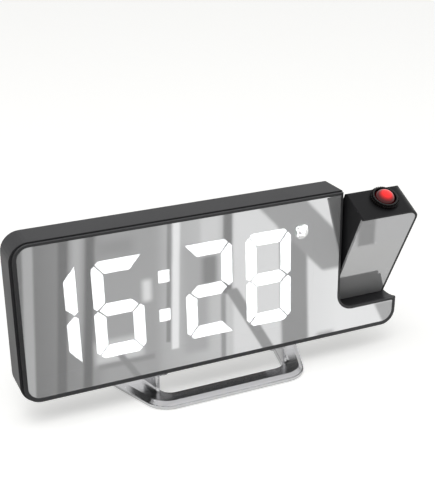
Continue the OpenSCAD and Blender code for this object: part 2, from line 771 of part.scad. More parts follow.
// One leg, running along Y with its inner face at X = 0: a plate with round ends, a screw flange
// under the body and a fillet at its foot
module leg() {
    half = leg_t / 2;
    inset = 0.1;
    translate([inset, 0, pad_rise + 1]) linear_extrude(leg_top - pad_rise - 1) {
        for (y = [half, leg_len - half]) translate([half, y]) circle(half);
        translate([0, half]) square([leg_t, leg_len - leg_t]);
    }
    box([-flange_reach, 0.9, leg_top - stand_flange_t], [half, leg_len - 1.1, leg_top]);
    translate([inset + half, leg_len - half, 0]) rotate([90, 0, 0]) linear_extrude(leg_len - leg_t)
        leg_fillet_profile();
    for (y = [half, leg_len - half]) translate([inset + half, y, 0]) rotate(y > half ? 0 : -90)
        rotate_extrude(angle = 90) leg_fillet_profile();
}

// What fills the corner between the bar's top and the leg's outer face
module leg_fillet_profile() difference() {
    translate([leg_t / 2 - 0.3, bar_h - 0.3]) square([leg_fillet + 0.3, leg_fillet + 0.3]);
    translate([leg_t / 2 + leg_fillet, bar_h + leg_fillet]) circle(leg_fillet);
    translate([leg_t / 2 + leg_fillet - 0.15, bar_h - past]) square([past, past + 0.05]);
}

module stand_feet() color("#1b1b1c") for (p = foot_places)
    translate([p[0], p[1], 0]) cylinder(h = pad_rise + 0.7, r = foot_r);

module stand_screws() color(steel) for (p = stand_screw_places) {
    translate([p[0], p[1], z0 - stand_flange_t - 1]) cylinder(h = 6.6, r = screw_r);
    translate([p[0], p[1], z0 - stand_flange_t - 1]) cylinder(h = 1, r = 1.8 * screw_r);
}

// ---------- arm ----------

// The closed arm's block, set in by a margin: square above the pivot, round below it
module arm_block(margin, from, to, corner, foot) {
    intersection() {
        slab(from, to) rounded(arm_x0 + margin, arm_x1 - margin, pivot_z - hollow_r, arm_top - margin,
            [arm_inner_r, corner, 0, 0]);
        union() {
            translate([arm_x0 - past, -body_d, pivot_z]) cube([arm_w + 2 * past, 2 * body_d, body_h]);
            translate([arm_x0 + margin, 0, pivot_z]) rotate([0, 90, 0]) rotate_extrude($fn = 96) difference() {
                square([arm_foot_r - margin, arm_w - 2 * margin]);
                corner_cut(arm_foot_r - margin, 0, 1, -1, foot);
            }
        }
    }
}

arm_boss_r = 2.1;
arm_back_y = y1 - arm_wall;
arm_plate_y = y0 + arm_mirror_t + 0.6;

module arm_shell() color(black) leaning() difference() {
    union() {
        difference() {
            arm_block(0, y0, arm_back_y, arm_corner_r, notch_r + 1);
            arm_block(arm_wall, arm_plate_y, y1, arm_corner_r - arm_wall, notch_r + 1 - arm_wall);
        }
        for (z = lug_z) box([lens_x - lug_reach, arm_plate_y - 0.1, z - 2.2],
            [lens_x + lug_reach, lens_y - 1.2, z + 2.2]);
        for (p = arm_screw_places) rod_y(p[0], p[1], arm_plate_y - 0.1, arm_back_y, arm_boss_r);
        for (k = [-6.2, 5.2]) box([lens_x + k, arm_plate_y - 0.1, tube_z - 9.4],
            [lens_x + k + 1.4, 5, tube_z - 6.5]);
    }
    slab(y0 - past, y0 + arm_mirror_t) arm_mirror_outline(-seat, past);
    translate([lens_x, lens_y, tube_top - 3]) cylinder(h = arm_top, r = ring_r + free);
    bead_room();
    translate([lens_x, lens_y, tube_z - past]) cylinder(h = tube_len + 2 * past, r = tube_r + seat);
    rod_x(0, pivot_z, arm_x0 - past, arm_x0 + arm_wall + past, axle_r + seat);
    for (p = arm_screw_places) rod_y(p[0], p[1], arm_plate_y, y1, screw_r * 0.9 + run_fit);
    for (z = lug_z, k = [-1, 1])
        rod_y(lens_x + k * (lug_reach - 1.2), z, arm_plate_y, y1, screw_r * 0.6 + run_fit);
}

arm_screw_places = [[arm_x0 + 4.2, arm_top - 4.4], [arm_x0 + 5.6, pivot_z - 10], [arm_x1 - 4, pivot_z - 12]];

// The arm's mirror runs out to the left and bottom edges; past makes it a cutter
module arm_mirror_outline(margin, reach) {
    rounded(arm_x0 - reach, arm_x1 - arm_rim - margin, pivot_z - hollow_r - reach, arm_top - arm_rim - margin,
        [0, arm_corner_r - arm_rim, 0, 0]);
}

module arm_mirror() color("#b4b6b8") leaning() intersection() {
    arm_block(0, y0, y0 + arm_mirror_t, arm_corner_r, notch_r + 1);
    slab(y0 - past, y0 + past + arm_mirror_t) arm_mirror_outline(0, past);
}

module arm_back() color(black) leaning() difference() {
    union() {
        arm_block(0, arm_back_y, y1, arm_corner_r, notch_r + 1);
        difference() {
            arm_block(arm_wall + seat, arm_back_y - 1.4, arm_back_y + 0.1,
                arm_corner_r - arm_wall, notch_r - 1);
            arm_block(arm_wall + 1, arm_back_y - 3, arm_back_y + 0.2, arm_corner_r - arm_wall - 1, notch_r - 2);
        }
    }
    for (p = arm_screw_places) {
        rod_y(p[0], p[1], arm_back_y - 3, y1, screw_r * 0.9 + seat);
        rod_y(p[0], p[1], y1 - 1.3, y1 + past, screw_r * 1.62 + 0.2);
        rod_y(p[0], p[1], arm_back_y - 3, arm_back_y, arm_boss_r + free);
    }
    translate([lens_x, lens_y, tube_z - past]) cylinder(h = arm_top, r = max(ring_r + free, tube_r + seat));
    bead_room();
    translate([0, y1, arm_top]) rotate([45, 0, 0]) cube([2 * body_w, bevel_side, bevel_side], center = true);
    translate([arm_x1, y1, 0]) rotate([0, 0, 45]) cube([bevel_side, bevel_side, 2 * arm_top], center = true);
}

bevel_side = arm_bevel * sqrt(2);
bead_r = ring_r + ring_bead;

// Room under the arm's top wall for the bead of the focus ring
module bead_room() {
    translate([lens_x, lens_y, tube_top - seat])
        cylinder(h = arm_top - arm_wall - tube_top + seat, r = bead_r + free);
}

module arm_screws() color(steel) leaning() {
    for (p = arm_screw_places) screw_y(p[0], p[1], arm_plate_y + 0.8, y1 - 0.2, screw_r * 0.9);
    for (z = lug_z, k = [-1, 1])
        screw_y(lens_x + k * (lug_reach - 1.2), z, arm_plate_y + 1.6, lens_y + 1.6, screw_r * 0.6);
}

// The hollow axle: a flange inside the arm, a journal in the bush and a groove for the clip
module arm_axle() color(steel) leaning() difference() {
    union() {
        rod_x(0, pivot_z, axle_in - 1.6, arm_x0 + arm_wall + 0.01, axle_r);
        rod_x(0, pivot_z, arm_x0 + arm_wall, arm_x0 + arm_wall + 1.2, axle_r + 2);
    }
    rod_x(0, pivot_z, axle_in - 3, arm_x0 + arm_wall + 3, axle_bore_r);
    difference() {
        rod_x(0, pivot_z, axle_in - 0.8, axle_in, axle_r + past);
        rod_x(0, pivot_z, axle_in - 1, axle_in + 0.2, axle_r - 0.6);
    }
}

module friction_washer() color("#8f9294") leaning() difference() {
    rod_x(0, pivot_z, axle_in + 0.02, axle_in + 0.28, clip_r);
    rod_x(0, pivot_z, axle_in - past, axle_in + 2, axle_r + run_fit);
}

module axle_clip() color("#5a5c5e") leaning() difference() {
    rod_x(0, pivot_z, axle_in - 0.7, axle_in - 0.05, clip_r);
    rod_x(0, pivot_z, axle_in - 2, axle_in + past, axle_r - 0.55);
    box([axle_in - 2, -1.6, pivot_z - clip_r - past], [axle_in + past, 1.6, pivot_z - axle_r + 1.2]);
}

// The fixed tube: bore for the barrel above, seats for slide display and condenser below
module lens_tube() color("#202022") leaning() difference() {
    union() {
        translate([lens_x, lens_y, tube_z]) cylinder(h = tube_len, r = tube_r);
        for (z = lug_z) box([lens_x - lug_reach, lens_y - 1.1, z - 2],
            [lens_x + lug_reach, lens_y + 0.5, z + 2]);
    }
    translate([lens_x, lens_y, tube_z - past]) cylinder(h = 8 + past, r = 4.8);
    translate([lens_x, lens_y, tube_z]) cylinder(h = 14, r = 3.8);
    translate([lens_x, lens_y, tube_z + 14]) cylinder(h = tube_len, r = tube_bore);
    for (z = lug_z, k = [-1, 1])
        rod_y(lens_x + k * (lug_reach - 1.2), z, -body_d, body_d, screw_r * 0.6 + 0.15);
}

module projector_board() color(board_green) leaning() {
    box([lens_x - 7, -5.4, tube_z - 6.4], [lens_x + 7.4, arm_back_y - 0.4, tube_z - 5.2]);
}

module projector_led() color("#e8e8ea") leaning() translate([lens_x, lens_y, tube_z - 5.2]) {
    cylinder(h = 1, r = 2.9);
    cylinder(h = 4, r = 2.5);
    translate([0, 0, 4]) sphere(2.5);
}

// Two-sided lens in the tube's lower seat
module condenser_lens() color("#d5e8f0") leaning() translate([lens_x, lens_y, tube_z + 6.6]) intersection() {
    cylinder(h = 2, r = 4.7);
    translate([0, 0, -6.6]) sphere(8.6);
}

module slide_display() color("#7f8f86") leaning() {
    box([lens_x - 3.3, lens_y - 3.3, tube_z + 14], [lens_x + 3.3, lens_y + 3.3, tube_z + 15.4]);
}

barrel_top = arm_top + 0.5 * ring_rise;

module lens_barrel() color("#1d1d1f") leaning() translate([lens_x, lens_y, barrel_top - barrel_len])
difference() {
    cylinder(h = barrel_len, r = barrel_r);
    translate([0, 0, 2]) cylinder(h = barrel_len, r = barrel_r - 0.9);
    translate([0, 0, -past]) cylinder(h = 4, r = barrel_r - 1.6);
}

// The domed outer lens: it sits on the barrel's end, and its stem fills the mouth
module projection_lens() color("#8c1018") leaning() {
    r = barrel_r - 0.1;
    h = arm_top + lens_rise - barrel_top;
    sphere_r = (r * r + h * h) / (2 * h);
    translate([lens_x, lens_y, barrel_top - 3]) cylinder(h = 3.01, r = barrel_r - 0.95);
    translate([lens_x, lens_y, barrel_top + h - sphere_r]) rotate_extrude() intersection() {
        circle(sphere_r);
        translate([0, sphere_r - h]) square([sphere_r, sphere_r]);
    }
}

module rear_lens() color("#cfe0ea") leaning() translate([lens_x, lens_y, barrel_top - barrel_len + 2]) {
    cylinder(h = 1.8, r = barrel_r - 0.95);
}

// Knurled ring that turns to focus, held by the bead under the arm's top wall
module focus_ring() color(black) leaning() translate([lens_x, lens_y, 0]) difference() {
    union() {
        translate([0, 0, tube_top + free]) cylinder(h = arm_top + ring_rise - tube_top - free, r = ring_r);
        translate([0, 0, tube_top + free])
            cylinder(h = arm_top - arm_wall - tube_top - free - seat, r = bead_r);
    }
    translate([0, 0, tube_top - past]) cylinder(h = arm_top, r = barrel_r + free);
    for (i = [0 : 23]) rotate(i * 15) translate([ring_r + 0.25, 0, arm_top + 0.5])
        cylinder(h = ring_rise, r = 0.45, $fn = 16);
}

// Wires inside the axle, meeting at its middle
module arm_lead() color("#a02020") leaning() {
    rod_x(0, pivot_z, notch_x + 0.3, arm_x0 + 5.5, 1);
}

module body_lead() color("#a02020") {
    rod_x(0, pivot_z, axle_in - 6, notch_x - 0.1, 1);
}

rear_shell();
front_bezel();
mirror_panel();
display_reflector();
lit_segments();
unlit_segments();
colon_dots();
alarm_icon();
display_board();
display_leds();
main_board();
control_chip();
clock_crystal();
board_connector();
key_switches();
buzzer();
port_board();
power_inlet();
inlet_pin();
usb_outlet();
usb_tongue();
cell_contacts();
coin_cell();
battery_door();
shell_screws();
board_screws();
axle_bush();
stand();
stand_feet();
stand_screws();
body_lead();
mode_button();
up_button();
down_button();
alarm_button();
snooze_button();
arm_shell();
arm_back();
arm_mirror();
arm_axle();
friction_washer();
axle_clip();
lens_tube();
projector_board();
projector_led();
condenser_lens();
slide_display();
arm_screws();
arm_lead();
focus_ring();
lens_barrel();
projection_lens();
rear_lens();
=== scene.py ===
import bpy
import bmesh
import json
import math
from mathutils import Matrix, Vector


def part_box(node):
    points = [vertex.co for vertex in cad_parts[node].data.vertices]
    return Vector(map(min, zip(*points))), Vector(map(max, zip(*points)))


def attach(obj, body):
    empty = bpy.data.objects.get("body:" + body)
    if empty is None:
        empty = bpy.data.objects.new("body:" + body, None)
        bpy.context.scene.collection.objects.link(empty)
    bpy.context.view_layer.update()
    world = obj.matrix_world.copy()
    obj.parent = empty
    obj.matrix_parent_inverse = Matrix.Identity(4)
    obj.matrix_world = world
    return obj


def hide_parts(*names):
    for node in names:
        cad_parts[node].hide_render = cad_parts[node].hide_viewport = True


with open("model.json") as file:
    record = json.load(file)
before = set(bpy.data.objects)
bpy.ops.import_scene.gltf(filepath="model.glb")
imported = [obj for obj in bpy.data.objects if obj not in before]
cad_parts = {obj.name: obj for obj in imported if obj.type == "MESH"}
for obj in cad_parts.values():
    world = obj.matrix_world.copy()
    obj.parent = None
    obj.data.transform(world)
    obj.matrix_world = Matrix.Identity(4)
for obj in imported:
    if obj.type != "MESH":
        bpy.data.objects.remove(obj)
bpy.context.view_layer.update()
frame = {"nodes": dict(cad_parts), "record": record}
nodes = frame["nodes"]
mm = 0.001
print("frame loaded:", len(nodes), "nodes")


# camera, in millimetres of the part's own frame
camera = dict(
    place=(-166.159, -374.897, 232.889),
    right=(0.91125811, -0.41171361, -0.01002809),
    up=(0.16449798, 0.34154946, 0.92535635),
    forward=(0.37755672, 0.84488808, -0.37896578),
    lens=71.97,
)


def placeCamera():
    data = bpy.data.cameras.new("camera")
    data.lens = camera["lens"]
    data.sensor_width = 36
    data.clip_start = 0.01
    data.clip_end = 20
    made = bpy.data.objects.new("camera", data)
    bpy.context.collection.objects.link(made)
    axes = [Vector(camera["right"]), Vector(camera["up"]), -Vector(camera["forward"])]
    turn = Matrix([[a[i] for a in axes] for i in range(3)]).to_4x4()
    made.matrix_world = Matrix.Translation(Vector(camera["place"]) * mm) @ turn
    bpy.context.scene.camera = made


placeCamera()
bpy.context.scene.view_settings.view_transform = "Standard"
print("camera placed")


def addNode(tree, kind, inputs=None, **settings):
    made = tree.nodes.new(kind)
    for key, value in settings.items():
        setattr(made, key, value)
    for key, value in (inputs or {}).items():
        made.inputs[key].default_value = value
    return made


def maths(tree, operation, first, second=None, clamp=False):
    made = tree.nodes.new("ShaderNodeMath")
    made.operation = operation
    made.use_clamp = clamp
    for i, value in enumerate((first, second)):
        if value is None:
            continue
        if isinstance(value, (int, float)):
            made.inputs[i].default_value = value
        else:
            tree.links.new(value, made.inputs[i])
    return made.outputs[0]


def blendColours(tree, mask, first, second):
    made = addNode(tree, "ShaderNodeMix", data_type="RGBA")
    tree.links.new(mask, made.inputs[0])
    for i, value in ((6, first), (7, second)):
        if isinstance(value, tuple):
            made.inputs[i].default_value = (*value, 1)
        else:
            tree.links.new(value, made.inputs[i])
    return made.outputs[2]


def stretch(tree, value, low, high):
    made = addNode(tree, "ShaderNodeMapRange", {"To Min": low, "To Max": high})
    tree.links.new(value, made.inputs["Value"])
    return made.outputs["Result"]


def newGroup(name, ins, outs):
    group = bpy.data.node_groups.new(name, "ShaderNodeTree")
    for label, kind, value in ins:
        socket = group.interface.new_socket(label, in_out="INPUT", socket_type=kind)
        if value is not None:
            socket.default_value = value
    for label, kind in outs:
        group.interface.new_socket(label, in_out="OUTPUT", socket_type=kind)
    return group, group.nodes.new("NodeGroupInput").outputs, group.nodes.new("NodeGroupOutput").inputs


def buildMouldGrain():
    # fine spark-eroded grain with slow, faint patches of sheen
    group, given, out = newGroup(
        "mouldGrain",
        [("Vector", "NodeSocketVector", None), ("Grains per metre", "NodeSocketFloat", 4000.0)],
        [("Height", "NodeSocketFloat"), ("Patches", "NodeSocketFloat")],
    )
    fine = addNode(group, "ShaderNodeTexNoise", {"Detail": 3.0, "Roughness": 0.6})
    pits = addNode(group, "ShaderNodeTexVoronoi", feature="SMOOTH_F1")
    slow = addNode(group, "ShaderNodeTexNoise", {"Scale": 38.0, "Detail": 2.0})
    for tex in (fine, pits, slow):
        group.links.new(given["Vector"], tex.inputs["Vector"])
    group.links.new(given["Grains per metre"], fine.inputs["Scale"])
    group.links.new(maths(group, "MULTIPLY", given["Grains per metre"], 0.6), pits.inputs["Scale"])
    pitted = maths(group, "MULTIPLY", pits.outputs["Distance"], 0.7)
    group.links.new(maths(group, "ADD", fine.outputs["Fac"], pitted), out["Height"])
    group.links.new(slow.outputs["Fac"], out["Patches"])
    return group


def buildEdgeWearAndHighlight():
    # where a surface turns a corner: a mask for rubbed edges and for painted edge highlights, and the
    # softened normal
    group, given, out = newGroup(
        "edgeWearAndHighlight",
        [("Radius", "NodeSocketFloat", 0.0004), ("Strength", "NodeSocketFloat", 3.0)],
        [("Mask", "NodeSocketFloat"), ("Normal", "NodeSocketVector")],
    )
    soft = addNode(group, "ShaderNodeBevel", samples=4)
    flat = group.nodes.new("ShaderNodeNewGeometry")
    turn = addNode(group, "ShaderNodeVectorMath", operation="DOT_PRODUCT")
    group.links.new(given["Radius"], soft.inputs["Radius"])
    group.links.new(soft.outputs["Normal"], turn.inputs[0])
    group.links.new(flat.outputs["Normal"], turn.inputs[1])
    off = maths(group, "SUBTRACT", 1.0, turn.outputs["Value"])
    group.links.new(maths(group, "MULTIPLY", off, given["Strength"], clamp=True), out["Mask"])
    group.links.new(soft.outputs["Normal"], out["Normal"])
    return group


def buildBrushing():
    # long fine scratches along X, for drawn and brushed metal
    group, given, out = newGroup(
        "brushing",
        [("Vector", "NodeSocketVector", None), ("Along", "NodeSocketVector", (30.0, 2600.0, 2600.0))],
        [("Height", "NodeSocketFloat"), ("Streaks", "NodeSocketFloat")],
    )
    pulled = addNode(group, "ShaderNodeVectorMath", operation="MULTIPLY")
    group.links.new(given["Vector"], pulled.inputs[0])
    group.links.new(given["Along"], pulled.inputs[1])
    fine = addNode(group, "ShaderNodeTexNoise", {"Scale": 1.0, "Detail": 4.0, "Roughness": 0.7})
    group.links.new(pulled.outputs[0], fine.inputs["Vector"])
    coarse = addNode(group, "ShaderNodeTexNoise", {"Scale": 0.18, "Detail": 2.0})
    group.links.new(pulled.outputs[0], coarse.inputs["Vector"])
    group.links.new(fine.outputs["Fac"], out["Height"])
    group.links.new(coarse.outputs["Fac"], out["Streaks"])
    return group


def buildBoardTracks():
    # copper tracks under lacquer, with bright pads here and there
    group, given, out = newGroup(
        "boardTracks",
        [("Vector", "NodeSocketVector", None)],
        [("Tracks", "NodeSocketFloat"), ("Pads", "NodeSocketFloat"), ("Height", "NodeSocketFloat")],
    )
    upright = addNode(group, "ShaderNodeMapping")
    upright.inputs["Rotation"].default_value = (math.radians(90), 0, 0)
    group.links.new(given["Vector"], upright.inputs["Vector"])
    lines = addNode(group, "ShaderNodeTexBrick", {
        "Scale": 90.0, "Mortar Size": 0.035, "Mortar Smooth": 0.2,
        "Brick Width": 0.9, "Row Height": 0.16})
    pads = addNode(group, "ShaderNodeTexVoronoi", {"Scale": 260.0, "Randomness": 0.55})
    group.links.new(upright.outputs[0], lines.inputs["Vector"])
    group.links.new(given["Vector"], pads.inputs["Vector"])
    dots = maths(group, "LESS_THAN", pads.outputs["Distance"], 0.17)
    group.links.new(lines.outputs["Fac"], out["Tracks"])
    group.links.new(dots, out["Pads"])
    group.links.new(maths(group, "ADD", lines.outputs["Fac"], dots), out["Height"])
    return group


mouldGrain = buildMouldGrain()
edgeWearAndHighlight = buildEdgeWearAndHighlight()
brushing = buildBrushing()
boardTracks = buildBoardTracks()


def newMaterial(name):
    made = bpy.data.materials.new(name)
    made.use_nodes = True
    tree = made.node_tree
    shader = tree.nodes["Principled BSDF"]
    where = addNode(tree, "ShaderNodeTexCoord").outputs["Object"]
    return made, tree, shader, where


def addGroup(tree, group, where=None, **values):
    made = tree.nodes.new("ShaderNodeGroup")
    made.node_tree = group
    if where is not None:
        tree.links.new(where, made.inputs["Vector"])
    for key, value in values.items():
        made.inputs[key].default_value = value
    return made.outputs


def addBump(tree, shader, height, depth, normal=None, strength=1.0):
    bump = addNode(tree, "ShaderNodeBump", {"Distance": depth, "Strength": strength})
    tree.links.new(height, bump.inputs["Height"])
    if normal is not None:
        tree.links.new(normal, bump.inputs["Normal"])
    tree.links.new(bump.outputs["Normal"], shader.inputs["Normal"])


# moulded plastics: colour, colour on edges (rubbed lighter by wear; on the bezel also painted light),
# roughness, gloss, edge radius and grain depth in metres
plastics = {
    "shellPlastic": dict(
        colour=(0.026, 0.026, 0.028), edgeTone=(0.060, 0.060, 0.063), rough=0.46, gloss=0.20,
        edge=0.00035, depth=0.000012,
    ),
    # painted light: the bezel is set lighter than the shell, and its edge colour much lighter, to stand
    # in for the light falling on its front rim; under that it is the same black plastic
    "bezelPlastic": dict(
        colour=(0.040, 0.040, 0.042), edgeTone=(0.150, 0.150, 0.155), rough=0.32, gloss=0.30,
        edge=0.00030, depth=0.000006,
    ),
    "armPlastic": dict(
        colour=(0.009, 0.009, 0.010), edgeTone=(0.030, 0.030, 0.032), rough=0.40, gloss=0.16,
        edge=0.00035, depth=0.000010,
    ),
    "buttonPlastic": dict(
        colour=(0.030, 0.030, 0.032), edgeTone=(0.100, 0.100, 0.100), rough=0.50, gloss=0.35,
        edge=0.00040, depth=0.000008,
    ),
    "whitePlastic": dict(
        colour=(0.80, 0.80, 0.78), edgeTone=(0.88, 0.88, 0.86), rough=0.45, gloss=0.50, edge=0.00020,
        depth=0.000006,
    ),
    "creamPlastic": dict(
        colour=(0.66, 0.62, 0.52), edgeTone=(0.75, 0.72, 0.62), rough=0.48, gloss=0.50, edge=0.00015,
        depth=0.000006,
    ),
    "chipBlack": dict(
        colour=(0.018, 0.018, 0.019), edgeTone=(0.070, 0.070, 0.070), rough=0.55, gloss=0.40,
        edge=0.00010, depth=0.000010,
    ),
    "opticBlack": dict(
        colour=(0.008, 0.007, 0.007), edgeTone=(0.040, 0.030, 0.030), rough=0.28, gloss=0.35,
        edge=0.00020, depth=0.000006,
    ),
    "footRubber": dict(
        colour=(0.022, 0.022, 0.023), edgeTone=(0.050, 0.050, 0.050), rough=0.85, gloss=0.20,
        edge=0.00030, depth=0.000030,
    ),
    "leadRed": dict(
        colour=(0.42, 0.02, 0.02), edgeTone=(0.50, 0.05, 0.04), rough=0.40, gloss=0.50, edge=0.00010,
        depth=0.000005,
    ),
    "smokedPlastic": dict(
        colour=(0.022, 0.022, 0.024), edgeTone=(0.040, 0.040, 0.040), rough=0.30, gloss=0.50,
        edge=0.00010, depth=0.000004,
    ),
}


def plasticFinish(name, colour, edgeTone, rough, gloss, edge, depth):
    made, tree, shader, where = newMaterial(name)
    grain = addGroup(tree, mouldGrain, where, **{"Grains per metre": 3600.0})
    worn = addGroup(tree, edgeWearAndHighlight, Radius=edge, Strength=2.0)
    darker = tuple(0.86 * c for c in colour)
    base = blendColours(tree, grain["Patches"], darker, tuple(min(1.12 * c, 0.92) for c in colour))
    # edges take the edge colour: rubbed wear, and on the bezel painted light from the front
    edgeShare = maths(tree, "MULTIPLY", worn["Mask"], maths(tree, "ADD", grain["Patches"], 0.2), clamp=True)
    tree.links.new(blendColours(tree, edgeShare, base, edgeTone), shader.inputs["Base Color"])
    sheen = stretch(tree, grain["Patches"], rough - 0.06, rough + 0.06)
    tree.links.new(sheen, shader.inputs["Roughness"])
    shader.inputs["Specular IOR Level"].default_value = gloss
    addBump(tree, shader, grain["Height"], depth, worn["Normal"])
    return made


# metals: colour, colour in the scratches, roughness, scratch direction, edge radius, scratch depth
metals = {
    "standMetal": dict(
        colour=(0.60, 0.60, 0.61), scratched=(0.44, 0.44, 0.45), rough=0.24,
        along=(30.0, 2600.0, 2600.0), edge=0.0005, depth=0.000004,
    ),
    "brightSteel": dict(
        colour=(0.62, 0.62, 0.63), scratched=(0.42, 0.42, 0.43), rough=0.26,
        along=(900.0, 900.0, 900.0), edge=0.0001, depth=0.000003,
    ),
    "springSteel": dict(
        colour=(0.36, 0.37, 0.38), scratched=(0.22, 0.22, 0.23), rough=0.34,
        along=(1400.0, 500.0, 500.0), edge=0.0001, depth=0.000004,
    ),
    "contactBrass": dict(
        colour=(0.72, 0.60, 0.34), scratched=(0.50, 0.40, 0.22), rough=0.28,
        along=(500.0, 1600.0, 1600.0), edge=0.0001, depth=0.000003,
    ),
    "cellSteel": dict(
        colour=(0.66, 0.66, 0.65), scratched=(0.50, 0.50, 0.50), rough=0.22,
        along=(600.0, 600.0, 600.0), edge=0.0002, depth=0.000003,
    ),
}


def metalFinish(name, colour, scratched, rough, along, edge, depth):
    made, tree, shader, where = newMaterial(name)
    drawn = addGroup(tree, brushing, where, Along=along)
    worn = addGroup(tree, edgeWearAndHighlight, Radius=edge, Strength=1.6)
    base = blendColours(tree, drawn["Streaks"], scratched, colour)
    # polished edges with a painted highlight: the base colour is a quarter lighter along the edge mask
    polishedHighlight = tuple(min(1.25 * c, 0.95) for c in colour)
    tree.links.new(blendColours(tree, worn["Mask"], base, polishedHighlight), shader.inputs["Base Color"])
    sheen = stretch(tree, drawn["Streaks"], rough - 0.07, rough + 0.07)
    tree.links.new(sheen, shader.inputs["Roughness"])
    shader.inputs["Metallic"].default_value = 1.0
    addBump(tree, shader, drawn["Height"], depth, worn["Normal"])
    return made


# mirrors: colour of the silver, how much of the sheet acts as silver (the rest is a faint grey
# veil), how much the coating covers, roughness
mirrors = {
    "mirrorGlass": dict(colour=(0.955, 0.96, 0.965), silver=0.78, coating=0.85, rough=0.03),
    "armMirrorGlass": dict(colour=(0.50, 0.502, 0.506), silver=0.52, coating=1.0, rough=0.045),
}


def mirrorFinish(name, colour, silver, coating, rough):
    made, tree, shader, where = newMaterial(name)
    slow = addNode(tree, "ShaderNodeTexNoise", {"Scale": 26.0, "Detail": 3.0})
    haze = addNode(tree, "ShaderNodeTexNoise", {"Scale": 420.0, "Detail": 2.0})
    tree.links.new(where, slow.inputs["Vector"])
    tree.links.new(where, haze.inputs["Vector"])
    thin = tuple(0.95 * c for c in colour)
    tree.links.new(blendColours(tree, slow.outputs["Fac"], thin, colour), shader.inputs["Base Color"])
    misty = stretch(tree, haze.outputs["Fac"], rough - 0.012, rough + 0.012)
    tree.links.new(misty, shader.inputs["Roughness"])
    shader.inputs["Metallic"].default_value = silver
    shader.inputs["Specular IOR Level"].default_value = 0.25
    addBump(tree, shader, slow.outputs["Fac"], 0.00004, strength=0.5)
    if coating < 1:  # only the front of the sheet is coated, and the digits shine through it
        side = addNode(tree, "ShaderNodeNewGeometry")
        seen = maths(tree, "SUBTRACT", 1.0, side.outputs["Backfacing"])
        tree.links.new(maths(tree, "MULTIPLY", seen, coating), shader.inputs["Alpha"])
    return made


# light windows: colour, glow
glowing = {
    "litWhite": dict(colour=(1.0, 1.0, 1.0), dim=(0.95, 0.97, 1.0), glow=4.2),
    "ledYellow": dict(colour=(0.95, 0.86, 0.30), dim=(0.85, 0.72, 0.20), glow=0.0),
    "ledClear": dict(colour=(0.90, 0.35, 0.32), dim=(0.80, 0.20, 0.18), glow=0.3),
}


def glowFinish(name, colour, dim, glow):
    made, tree, shader, where = newMaterial(name)
    cloud = addNode(tree, "ShaderNodeTexNoise", {"Scale": 160.0, "Detail": 2.0})
    tree.links.new(where, cloud.inputs["Vector"])
    tone = blendColours(tree, cloud.outputs["Fac"], dim, colour)
    tree.links.new(tone, shader.inputs["Base Color"])
    tree.links.new(stretch(tree, cloud.outputs["Fac"], 0.35, 0.5), shader.inputs["Roughness"])
    if glow > 0:
        tree.links.new(tone, shader.inputs["Emission Color"])
        shader.inputs["Emission Strength"].default_value = glow
    addBump(tree, shader, cloud.outputs["Fac"], 0.00002)
    return made


board = dict(lacquer=(0.012, 0.085, 0.040), track=(0.020, 0.14, 0.062), pad=(0.72, 0.72, 0.66))


def boardFinish():
    made, tree, shader, where = newMaterial("boardGreen")
    etched = addGroup(tree, boardTracks, where)
    base = blendColours(tree, etched["Tracks"], board["track"], board["lacquer"])
    tree.links.new(blendColours(tree, etched["Pads"], base, board["pad"]), shader.inputs["Base Color"])
    tree.links.new(etched["Pads"], shader.inputs["Metallic"])
    tree.links.new(stretch(tree, etched["Pads"], 0.38, 0.25), shader.inputs["Roughness"])
    addBump(tree, shader, etched["Height"], 0.00004)
    return made


reflector = dict(white=(0.82, 0.82, 0.80), mask=(0.010, 0.010, 0.011), face=-6.98)


def reflectorFinish():
    # white moulding whose front face is printed black, so that nothing shows between the strokes
    made, tree, shader, where = newMaterial("reflectorWhite")
    grain = addGroup(tree, mouldGrain, where, **{"Grains per metre": 3000.0})
    axes = addNode(tree, "ShaderNodeSeparateXYZ")
    tree.links.new(where, axes.inputs[0])
    front = maths(tree, "LESS_THAN", axes.outputs["Y"], reflector["face"] * mm)
    tone = blendColours(tree, front, reflector["white"], reflector["mask"])
    tree.links.new(tone, shader.inputs["Base Color"])
    tree.links.new(stretch(tree, grain["Patches"], 0.6, 0.75), shader.inputs["Roughness"])
    addBump(tree, shader, grain["Height"], 0.000008)
    return made


# the lit lens: its glow is full within the core and gone at the reach, in millimetres from a
# point that lies off the middle of the lens
redLens = dict(
    rim=(0.070, 0.001, 0.002), heart=(1.0, 0.016, 0.016), glow=3.2, core=1.4, reach=4.3,
    off=(0, -0.6, 0.8),
)


